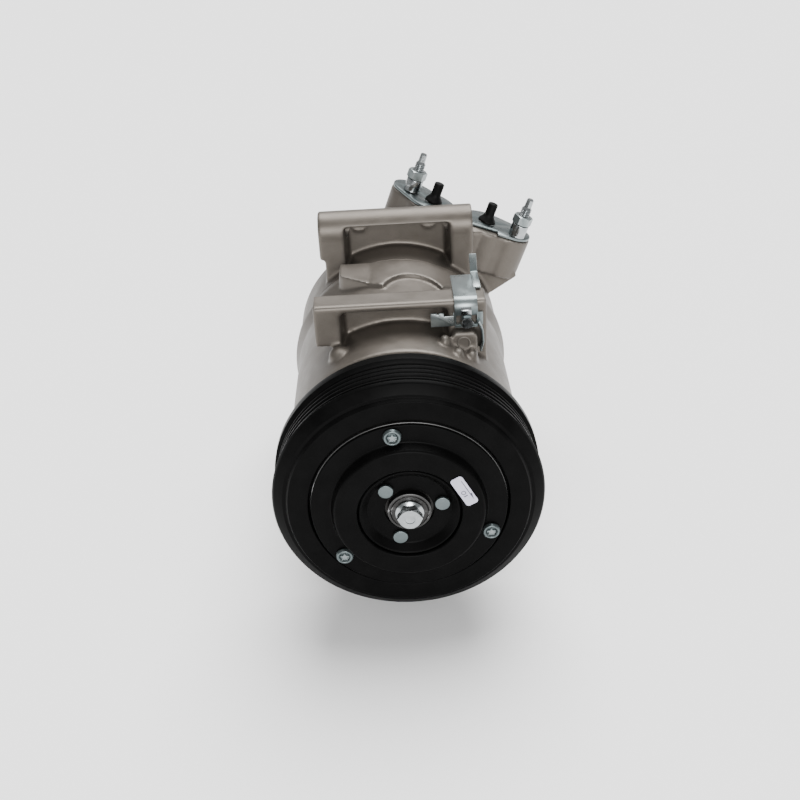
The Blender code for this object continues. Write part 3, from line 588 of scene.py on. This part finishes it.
def make_clutch(mats):
    """Armature, stamped front plate, dished plate, hub, rivets and centre bolt."""
    plate = turned(rounded([(27.0, GAP, 0.3), (ARMATURE_R, GAP, 0.4), (ARMATURE_R, 4.05, 0.4),
                            (27.0, 4.05, 0.3)], 4), LARGE)
    piece("armature_disc", plate, mats["dark_steel"], "armature", "dark_steel", "armature_plate")

    front = turned(rounded([(45.0, -1.6, 0.6), (35.9, -1.6, 1.1), (34.3, PLATEAU_Y, 1.6),
                            (24.0, PLATEAU_Y, 1.0), (23.7, -4.9, 0.3), (32.2, -4.9, 1.0),
                            (33.4, 0.0, 1.2), (45.0, 0.0, 0.4)], 8), LARGE)
    piece("front_stamping", front, mats["black_coat"], "armature", "black_coat",
          "clutch_front_plate")

    dish = turned(rounded([(11.2, -2.2, 0.4), (18.9, -2.2, 1.6), (22.2, -5.6, 0.7),
                           (22.9, -5.6, 0.3), (24.8, -1.9, 0.5), (24.8, -0.7), (11.2, -0.7)], 6),
                  LARGE)
    piece("dished_plate", dish, mats["black_coat"], "shaft", "black_coat", "inner_hub_plate")

    hub = turned(rounded([(3.3, -4.4, 0.2), (8.2, -4.4, 0.2), (8.6, -3.9, 0.1), (9.0, -4.4, 0.1),
                          (10.0, -4.2, 0.4), (10.0, -0.4), (19.4, -0.4), (19.4, 2.2), (9.4, 2.2),
                          (9.4, 20.0), (6.3, 20.0), (6.3, -0.8), (3.3, -0.8)], 4), MEDIUM)
    piece("splined_hub", hub, mats["dark_steel"], "shaft", "dark_steel", "clutch_hub")

    for k in range(1, 4):
        outer_rivet(f"outer_rivet_{k}", mats["zinc"])
        inner_rivet(f"inner_rivet_{k}", mats["zinc"])
    make_centre_bolt(mats)
    make_label(mats)


def chamfered_hex(flats, low, high, stand, chamfer):
    """A hexagonal prism whose corners are turned off at both ends; flats is its width."""
    corner = flats / 2 / math.cos(math.pi / 6)
    hexagon = prism(circle((0.0, 0.0), corner, 6), low, high)
    limit = turned([(0.0, low), (flats / 2 * 0.98, low), (corner, low + chamfer),
                    (corner, high - chamfer), (flats / 2 * 0.98, high), (0.0, high)], SMALL)
    bmesh.ops.transform(limit, verts=limit.verts, matrix=ALONG_Y.inverted())
    bmesh.ops.recalc_face_normals(limit, faces=limit.faces)
    body = boolean(hexagon, limit, "INTERSECT")
    bmesh.ops.transform(body, verts=body.verts, matrix=stand)
    bmesh.ops.recalc_face_normals(body, faces=body.faces)
    return body


def make_centre_bolt(mats):
    """Flanged hex bolt in the middle of the hub."""
    head = chamfered_hex(10.0, -10.2, -5.6, ALONG_Y, 0.7)
    flange = turned(rounded([(0.0, -6.4), (5.0, -6.4, 0.4), (6.6, -5.4, 0.3), (6.6, -4.7, 0.2),
                             (2.9, -4.7), (2.9, 16.0), (0.0, 16.0)], 4), MEDIUM)
    dimple = turned([(0.0, -11.0), (2.6, -11.0), (2.2, -9.8), (0.0, -9.6)], SMALL)
    body = cut(union(flange, head), dimple)
    piece("hub_bolt", body, mats["bright_steel"], "shaft", "bright_steel", "clutch_bolt",
          sharp=25.0)


def make_label(mats):
    """Printed film on the raised ring, with an arrow, a ring and a bar on it."""
    low, high = local_box("rotation_label")
    stand = stand_on(low, high) @ Matrix.Rotation(math.radians(LABEL_TILT), 4, "Z")
    film = prism(rounded_box(16.4, 5.9, 1.4), low.y + 0.02, high.y)
    piece("label_film", film, mats["label_white"], "armature", "label_white", "rotation_label",
          stand=stand)
    arrow = [(-5.6, 1.75), (2.4, 1.75), (2.4, 2.5), (6.2, 1.5), (2.4, 1.35), (-5.6, 1.45)]
    ink = prism(arrow, low.y, low.y + INK_T)
    piece("label_arrow", ink, mats["label_ink"], "armature", "label_white", stand=stand)
    ring = cut(prism(circle((0.6, -0.7), 1.1, SMALL), low.y, low.y + INK_T),
               prism(circle((0.6, -0.7), 0.75, SMALL), low.y - 1.0, low.y + 1.0))
    piece("label_ring", ring, mats["label_ink"], "armature", "label_white", stand=stand)
    bar = prism(rounded_box(0.5, 2.0, 0.2, (2.6, -0.7)), low.y, low.y + INK_T)
    piece("label_bar", bar, mats["label_ink"], "armature", "label_white", stand=stand)


# ---------------------------------------------------------------- housings
def lower_lug(y):
    """A plain bar under the barrel, between two limits in Y."""
    outline = rounded([(y[0], -46.0), (y[0], LOWER_LUG_BOTTOM, 2.5),
                       (y[1], LOWER_LUG_BOTTOM, 2.5), (y[1], -46.0)])
    return prism(outline, LUG_X[0], LUG_X[1], ALONG_X)


def drafted(front, back, y0, y1):
    """A pocket shape between two outlines in X and Z, so that its walls slope."""
    bm = bmesh.new()
    near = [bm.verts.new((x, y0, z)) for x, z in front]
    far = [bm.verts.new((x, y1, z)) for x, z in back]
    bm.faces.new(near)
    bm.faces.new(far)
    for k in range(len(near)):
        n = (k + 1) % len(near)
        bm.faces.new((near[k], near[n], far[n], far[k]))
    bmesh.ops.recalc_face_normals(bm, faces=bm.faces)
    return bm


def pocket(x, top, y, draft):
    """A drafted pocket with round upper corners, open towards the front and below."""
    front = rounded([(x[0], 20.0), (x[0], top, 2.5), (x[1], top, 2.5), (x[1], 20.0)])
    back = rounded([(x[0] + draft, 20.0), (x[0] + draft, top - 0.6, 2.5),
                    (x[1] - draft, top - 0.6, 2.5), (x[1] - draft, 20.0)])
    return drafted(front, back, *y)


def front_upper_lug():
    """Flat-topped lug with a deep pocket in its front and a leg at each end."""
    y0, y1 = FRONT_LUG_Y
    top = FRONT_LUG_TOP
    outline = rounded([(y0, 38.0), (y0, top, 1.5), (y1, top, 1.0), (y1, 38.0)])
    lug = prism(outline, LUG_X[0], LUG_X[1], ALONG_X)
    step = block((LUG_X[0] - 1.0, LUG_X[0] + 8.5), (y0 - 1.0, y1 + 1.0), (30.0, 51.0))
    return cut(lug, step, pocket(FRONT_POCKET_X, top - 3.7, (y0 - 1.0, 75.0), 2.2))


def rear_upper_lug():
    """Round bolt boss on two legs, with a web and two ring marks set back between them."""
    y, z = REAR_LUG
    r = REAR_LUG_R
    boss = rod_x(y, z, r, LUG_X[0] - 1.2, LUG_X[1] + 1.8, MEDIUM)
    legs = block((LUG_X[0] + 1.6, LUG_X[1] + 0.4), (y - r + 0.2, y + r - 0.2), (38.0, z + 2.0))
    cheek = block((LUG_X[0] - 1.2, LUG_X[1] + 1.8), (y - r + 0.2, y + r - 0.2), (57.0, z))
    hollow = pocket(REAR_POCKET_X, 75.9, (y - r - 2.0, 171.6), 2.6)
    marks = [cut(rod_y(x, 71.0, 3.2, 170.8, 174.0), rod_y(x, 71.0, 2.6, 160.0, 180.0))
             for x in (-19.5, 20.0)]
    return union(cut(union(boss, legs, cheek), hollow), *marks)


def bolt_boss(angle):
    """A bolt boss that stands out of the flange at an angle about the shaft."""
    outline = rounded([(-11.5, 50.0), (-8.5, 60.2, 3.0), (8.5, 60.2, 3.0), (11.5, 50.0)])
    bm = prism(outline, 129.0, RIM_Y - 0.4, ALONG_Y)
    turn = Matrix.Rotation(math.radians(90.0 - angle), 4, "Y")
    bmesh.ops.transform(bm, verts=bm.verts, matrix=turn)
    bmesh.ops.recalc_face_normals(bm, faces=bm.faces)
    return bm


def front_outer():
    """The turned outside of the front housing, still solid: nose, barrel, flange, seal groove."""
    corners = [(0.0, 3.0), (NOSE_R, 3.0), (NOSE_R, 7.0), (16.4, 7.0), (16.4, 9.0), (NOSE_R, 9.0),
               (NOSE_R, 36.0), (44.5, 36.0), (45.3, 42.5), (BARREL_R, 42.5, 2.0),
               (BARREL_R, 127.0, 8.0), (60.0, 140.0, 6.0), (59.8, RIM_Y - 1.6, 0.8),
               (58.0, RIM_Y, 0.4), (50.4, RIM_Y), (50.4, RIM_Y - 2.4), (47.8, RIM_Y - 2.4),
               (47.8, RIM_Y), (0.0, RIM_Y)]
    return turned(rounded(corners), LARGE)


def front_cavity():
    """The stepped space in the front housing."""
    return turned([(0.0, 0.0), (10.5, 0.0), (10.5, 30.0), (14.3, 30.0), (14.3, 42.8),
                   (24.2, 42.8), (24.2, 58.0), (29.0, 58.0), (29.0, 48.0), (50.0, 48.0),
                   (50.0, 98.0), (38.0, 98.0), (38.0, 108.0), (CHAMBER_R, 108.0),
                   (CHAMBER_R, 160.0), (0.0, 160.0)], LARGE)


def flange_crest():
    """The raised top of the flange: a bolt boss with a slanting front edge and an arched foot."""
    plan = [(-31.0, RIM_Y - 0.4), (-31.0, 133.0), (-29.0, 130.0), (-9.0, 115.5), (-6.6, 115.0)]
    plan += arc((8.8, 109.5), 16.8, 160.0, 27.0, 24)
    plan += [(25.0, 118.0), (31.0, 124.0), (34.0, 136.0), (34.0, RIM_Y - 0.4)]
    ring = turned([(50.0, 110.0), (60.0, 110.0), (60.2, RIM_Y - 1.8), (58.0, RIM_Y),
                   (50.0, RIM_Y)], LARGE)
    boss = [(-31.0, RIM_Y - 0.4), (-31.0, 133.0), (-29.0, 130.0), (-16.0, 120.6),
            (-12.0, RIM_Y - 0.4)]
    return union(boolean(prism(plan, 30.0, 66.0), ring, "INTERSECT"), prism(boss, 40.0, 58.4))


def knob(centre, radii):
    """A rounded lump of casting."""
    bm = bmesh.new()
    bmesh.ops.create_uvsphere(bm, u_segments=24, v_segments=16, radius=1.0)
    bmesh.ops.scale(bm, verts=bm.verts, vec=radii)
    bmesh.ops.translate(bm, verts=bm.verts, vec=centre)
    return bm


def connector_pad():
    """The proud square pad below the bracket and three small knobs round it."""
    square = prism(rounded([(24.8, 40.0, 3.0), (37.2, 40.0, 3.0), (37.2, 58.0, 3.0),
                            (24.8, 58.0, 3.0)]), 56.6, 66.0, ALONG_Y)
    knobs = [knob((21.5, 57.0, 54.0), (2.8, 3.5, 3.4)), knob((27.5, 50.5, 49.8), (2.6, 3.5, 3.6)),
             knob((34.0, 54.0, 46.0), (3.0, 4.0, 4.0))]
    return [square] + knobs


def make_front_housing(mats):
    """Front housing with its lugs, flange, bolt bosses and pad, and a ring mark on the pad."""
    parts = [front_outer(), front_upper_lug(), lower_lug(FRONT_LUG_Y), flange_crest()]
    parts += [bolt_boss(angle) for angle in BOSS_ANGLES]
    parts += connector_pad()
    parts.append(knob((-29.0, 59.0, 48.0), (6.0, 6.0, 5.0)))
    body = cast_shape(parts)
    drills = [rod_x(*FRONT_HOLE, LUG_HOLE_R, THROUGH[0], FRONT_POCKET_X[0] + 0.6),
              rod_x(*FRONT_HOLE, LUG_HOLE_R, FRONT_POCKET_X[1] - 0.6, THROUGH[1]),
              rod_x(FRONT_HOLE[0], LOWER_HOLE_Z, LUG_HOLE_R, *THROUGH)]
    for angle in BOLT_ANGLES:
        x, z = on_circle(BOLT_CIRCLE_R, angle)
        drills.append(rod_y(x, z, BOLT_HOLE_R, 122.0, 150.0))
    body = cut(body, joined(drills), front_cavity(), rod_y(*BRACKET_SCREW, 2.4, 55.0, 66.4))
    ring_mark = turned(circle((2.9, 56.6), 0.45, 12), MEDIUM, (30.4, 53.0))
    piece("front_casting", joined([body, ring_mark]), mats["cast_alloy"], "housing",
          "cast_alloy", "front_housing", sharp=40.0)


def rear_outer():
    """The turned outside of the rear housing, still solid."""
    corners = [(0.0, PARTING_Y), (REAR_R - 1.2, PARTING_Y, 0.3), (REAR_R, PARTING_Y + 1.4, 0.8),
               (REAR_R, SHOULDER_Y, 4.0), (46.8, SHOULDER_Y, 3.0), (45.6, REAR_END_Y, 6.0),
               (0.0, REAR_END_Y)]
    return turned(rounded(corners), LARGE)


def manifold():
    """The cast port block, each pad a wide cylinder merged with a narrow one."""
    parts = []
    for side in SIDES:
        centre_a, radius_a, centre_b, radius_b = PAD[side]
        depth = PAD_DEPTH[side]
        parts.append(prism(circle(centre_a, radius_a, MEDIUM), -depth, 0.0, MANIFOLD))
        parts.append(prism(circle(centre_b, radius_b, MEDIUM), -depth, 0.0, MANIFOLD))
        parts.append(prism(hull(centre_a, radius_a - 0.6, centre_b, radius_b - 0.6), -depth, 0.0,
                           MANIFOLD))
    parts.append(prism(rounded_box(30.0, 34.0, 4.0, (-1.0, 0.0)), -44.0, -1.2, MANIFOLD))
    parts.append(prism(circle(PAD["left"][0], 12.0, SMALL), -48.0, -2.0, MANIFOLD))
    wedge = [(71.4, 31.6), (57.0, 22.4), (40.0, 16.0), (34.0, 50.0), (60.0, 56.0)]
    parts.append(prism(wedge, 177.5, 197.0, ALONG_Y))
    return parts


def make_rear_housing(mats):
    """Rear housing with its lugs, manifold and closed end."""
    y = REAR_LUG[0]
    parts = [rear_outer(), rear_upper_lug(), lower_lug((y - REAR_LUG_R, y + REAR_LUG_R))]
    body = cast_shape(parts + manifold())
    drills = [rod_y(0.0, 0.0, CHAMBER_R, PARTING_Y - 5.0, 180.0, LARGE),
              rod_x(*REAR_LUG, LUG_HOLE_R, *THROUGH),
              rod_x(y, LOWER_HOLE_Z, LUG_HOLE_R, *THROUGH)]
    for angle in BOLT_ANGLES:
        x, z = on_circle(BOLT_CIRCLE_R, angle)
        drills.append(rod_y(x, z, BOLT_HOLE_R, PARTING_Y - 1.0, SHOULDER_Y + 1.0))
    ports = [prism(circle(STUD[side], 3.3, SMALL), -14.0, 2.0, MANIFOLD) for side in SIDES]
    ports += [prism(circle(PORT[side], 6.0, SMALL), -30.0, 2.0, MANIFOLD) for side in SIDES]
    body = cut(body, joined(drills), joined(ports), rod_y(0.0, 0.0, 39.0, 170.0, 203.0, LARGE))
    piece("rear_casting", body, mats["cast_alloy"], "housing", "cast_alloy", "rear_housing",
          sharp=40.0)


# ---------------------------------------------------------------- fittings
def ribbon(path, thickness, low, high, stand, bend):
    """A strip of sheet metal: a path of points with rounded bends, given thickness and width."""
    corners = [path[0]] + [(a, b, bend) for a, b in path[1:-1]] + [path[-1]]
    line = rounded(corners, 8)
    offset = []
    for k, point in enumerate(line):
        before = Vector(line[max(k - 1, 0)])
        after = Vector(line[min(k + 1, len(line) - 1)])
        along = (after - before).normalized()
        offset.append((point[0] - along.y * thickness, point[1] + along.x * thickness))
    return prism(line + offset[::-1], low, high, stand)


def make_bracket(mats):
    """Bent sheet-metal bracket with windows and a side arm, a curved leg, a tongue and a clip."""
    tip_z = local_box("connector_bracket")[1].z
    x0, x1 = BRACKET_X
    back_y = FRONT_LUG_Y[0] - GAP
    face_y = back_y - BRACKET_T
    top_z = FRONT_LUG_TOP + GAP
    strap = ribbon([(90.0, top_z), (face_y, top_z), (face_y, 59.0)], -BRACKET_T, x0, x1, ALONG_X,
                   3.6)
    arm = block((15.2, x1 + 2.6), (face_y, back_y), (59.4, 66.2))
    notches = [block((21.4, 26.0), (face_y - 1.0, back_y + 1.0), (64.6, 68.0)),
               block((18.2, 19.0), (face_y - 1.0, back_y + 1.0), (65.6, 68.0))]
    windows = [block((x, x + 2.6), (face_y - 3.0, back_y + 1.0), (60.6, 65.4))
               for x in (x0 + 0.7, x1 - 3.0)]
    body = softened(cut(union(strap, arm), *notches, *windows), 0.25)
    piece("bracket_strap", body, mats["zinc"], "housing", "zinc", "connector_bracket", sharp=40.0)
    leg = ribbon([(x1 - 0.2, 62.5), (x1 + 1.4, 58.0), (x1 + 1.8, 52.0), (x1 + 0.6, 47.0)], 1.1,
                 back_y - 5.0, back_y + 0.6, ALONG_Y, 4.0)
    piece("bracket_leg", softened(leg, 0.25), mats["zinc"], "housing", "zinc", sharp=40.0)
    tongue = ribbon([(75.0, top_z + 0.2), (84.0, top_z + 0.4), (93.0, top_z + 0.3),
                     (99.2, tip_z - 0.3)], 1.2, x1 - 0.8, x1 + 2.8, ALONG_X, 3.0)
    piece("bracket_tongue", softened(tongue, 0.25), mats["zinc"], "housing", "zinc", sharp=40.0)
    clip = ribbon([(face_y - 0.2, 70.6), (face_y - 2.4, 68.6), (face_y - 2.4, 66.0),
                   (face_y - 0.4, 64.6)], 0.8, x0 + 3.0, x1 - 3.0, ALONG_X, 1.0)
    piece("bracket_clip", softened(clip, 0.2), mats["bright_steel"], "housing", "zinc", sharp=40.0)
    make_bracket_bolt(mats)


def make_bracket_bolt(mats):
    """Small hex screw through the bracket."""
    low, high = local_box("bracket_bolt")
    stand = stand_on(low, high)
    head = chamfered_hex(5.4, low.y, low.y + 3.0, stand, 0.4)
    shank = prism(circle((0.0, 0.0), 2.1, SMALL), low.y + 1.0, high.y, stand)
    piece("bracket_screw", union(shank, head), mats["bright_steel"], "housing", "bright_steel",
          "bracket_bolt", sharp=25.0)


def threads(radius, depth, pitch, low, high):
    """Zigzag profile points of a thread."""
    points = []
    for k in range(int((high - low) / pitch)):
        h = low + k * pitch
        points += [(radius - depth, h + pitch * 0.5), (radius, h + pitch)]
    return points


def port_drill(place, radius):
    """A cutter through everything that stands on the manifold."""
    return prism(circle(place, radius, SMALL), -1.0, 30.0, MANIFOLD)


def port_plate(side):
    """Blanking plate on one pad, cut away beside the rear lug's bolt boss."""
    centre_a, radius_a, centre_b, radius_b = PAD[side]
    outline = hull(centre_a, radius_a - 0.4, centre_b, radius_b - 0.4)
    plate = prism(outline, GAP, GAP + PLATE_T, MANIFOLD)
    y, z = REAR_LUG
    reach = REAR_LUG_R + 2 * GAP
    lug = union(rod_x(y, z, reach, *THROUGH, MEDIUM), block(THROUGH, (y, y + reach), (z - 15.0, z)))
    drills = [port_drill(STUD[side], STUD_HOLE_R), port_drill(PORT[side], PLUG_HOLE_R)]
    return softened(cut(plate, lug, *drills), 0.35)


def sleeve(low):
    """Spacer round a stud, with a waist."""
    high = low + SLEEVE_H
    corners = [(STUD_HOLE_R, low, 0.1), (5.0, low, 0.3), (4.8, low + 0.8, 0.2),
               (4.8, low + 3.2, 0.2), (4.95, low + 3.6, 0.1), (4.95, high, 0.4),
               (STUD_HOLE_R, high, 0.2)]
    return turned(rounded(corners, 4), MEDIUM)


def stud_profile():
    """Threaded stud with a reduced driving end."""
    foot = [(0.0, -13.5), (2.6, -13.5), (3.0, -12.5)]
    tip = [(2.6, 19.6), (2.1, 20.4), (2.0, 24.6), (1.6, 25.2), (0.0, 25.2)]
    return foot + threads(3.0, 0.45, 1.0, -12.0, 19.0) + tip


def plug_profile():
    """Rubber plug: stem in the port, flared foot on the plate and a blunt grip."""
    return rounded([(0.0, -8.0), (2.8, -8.0, 0.4), (2.8, 2.2), (5.2, 2.2, 0.2), (5.1, 3.2, 0.5),
                    (3.6, 5.2, 1.0), (2.9, 6.6, 1.0), (2.9, 13.6, 0.7), (0.0, 13.6)])


def make_port_fittings(mats):
    """Blanking plates, sleeves, nuts, studs and rubber plugs on the manifold."""
    upright = ALONG_Y.inverted()
    for side in SIDES:
        on_stud = MANIFOLD @ Matrix.Translation((*STUD[side], 0.0))
        on_port = MANIFOLD @ Matrix.Translation((*PORT[side], 0.0))
        piece(f"port_plate_{side}", port_plate(side), mats["zinc"], "housing", "zinc",
              f"blanking_plate_{side}", sharp=50.0)
        sleeve_low = 2 * GAP + PLATE_T
        piece(f"sleeve_{side}", sleeve(sleeve_low), mats["bright_steel"], "housing",
              "bright_steel", f"stud_sleeve_{side}", stand=on_stud @ upright)
        nut_low = sleeve_low + SLEEVE_H + GAP
        nut = chamfered_hex(10.0, nut_low, nut_low + NUT_H, on_stud, 0.6)
        nut = cut(nut, port_drill(STUD[side], STUD_HOLE_R))
        piece(f"nut_{side}", nut, mats["zinc"], "housing", "zinc", f"stud_nut_{side}", sharp=25.0)
        piece(f"stud_{side}", turned(stud_profile(), SMALL), mats["bright_steel"], "housing",
              "bright_steel", f"manifold_stud_{side}", stand=on_stud @ upright, sharp=25.0)
        piece(f"plug_{side}", turned(plug_profile(), MEDIUM), mats["rubber_black"], "housing",
              "rubber_black", f"port_plug_{side}", stand=on_port @ upright)


def make_housing_bolts(mats):
    """Flanged hex bolts at the rear."""
    for k in range(1, 6):
        low, high = local_box(f"housing_bolt_{k}")
        stand = stand_on(low, high)
        head = chamfered_hex(9.7, high.y - 5.7, high.y, stand, 0.6)
        collar = prism(circle((0.0, 0.0), 5.5, MEDIUM), high.y - 5.7, high.y - 4.6, stand)
        shank = prism(circle((0.0, 0.0), 3.0, SMALL), low.y, high.y - 1.0, stand)
        piece(f"rear_bolt_{k}", union(shank, head, collar), mats["zinc"], "housing", "zinc",
              f"housing_bolt_{k}", sharp=25.0)


# ---------------------------------------------------------------- stage
def make_floor():
    """A pale round floor."""
    bm = bmesh.new()
    bmesh.ops.create_circle(bm, cap_ends=True, segments=96, radius=4.0)
    floor = as_object(bm, "floor")
    floor.location.z = -0.0002
    mat = bpy.data.materials.new("floor")
    mat.use_nodes = True
    shader = mat.node_tree.nodes["Principled BSDF"]
    shader.inputs["Base Color"].default_value = rgb(0.93, 0.93, 0.93)
    shader.inputs["Roughness"].default_value = 0.9
    floor.data.materials.append(mat)


def soft_light(name, strength, softness, pitch):
    """A distant light with soft shadows: softness and pitch from straight down are in degrees."""
    sun = bpy.data.objects.new(name, bpy.data.lights.new(name, "SUN"))
    bpy.context.scene.collection.objects.link(sun)
    sun.data.energy = strength
    sun.data.angle = math.radians(softness)
    sun.rotation_euler = (math.radians(pitch), math.radians(LIGHT_YAW), 0.0)


def make_camera():
    """A camera in front of the clutch, looking down on it."""
    camera = bpy.data.objects.new("camera", bpy.data.cameras.new("camera"))
    bpy.context.scene.collection.objects.link(camera)
    camera.data.lens = 45.0
    camera.data.sensor_width = 36.0
    camera.data.clip_start = 0.01
    place = Matrix.Translation(TO_FRAME @ Vector(CAMERA_PLACE))
    pitch = Matrix.Rotation(math.radians(90.0 - CAMERA_DOWN), 4, "X")
    roll = Matrix.Rotation(math.radians(CAMERA_ROLL), 4, "Z")
    camera.matrix_world = place @ pitch @ roll
    bpy.context.scene.camera = camera


def make_stage():
    """Pale floor and surroundings, one light from above and behind, one from low in front."""
    make_floor()
    world = bpy.data.worlds.new("studio")
    world.use_nodes = True
    backdrop = world.node_tree.nodes["Background"]
    backdrop.inputs["Color"].default_value = rgb(1.0, 1.0, 1.0)
    backdrop.inputs["Strength"].default_value = 0.48
    bpy.context.scene.world = world
    soft_light("back_light", 6.6, 50.0, -24.0)
    soft_light("front_light", 3.6, 30.0, 70.0)
    make_camera()


def finish_cad_nodes(mats):
    """Give every node of the frame the material of its own slot."""
    for row in frame["record"]["subparts"]:
        node = frame["nodes"][row["node"]]
        node.data.materials.clear()
        node.data.materials.append(mats[row["material_slot"]])


mats = make_materials()
finish_cad_nodes(mats)
make_pulley(mats)
make_clutch(mats)
make_front_housing(mats)
make_rear_housing(mats)
make_bracket(mats)
make_port_fittings(mats)
make_housing_bolts(mats)
make_stage()
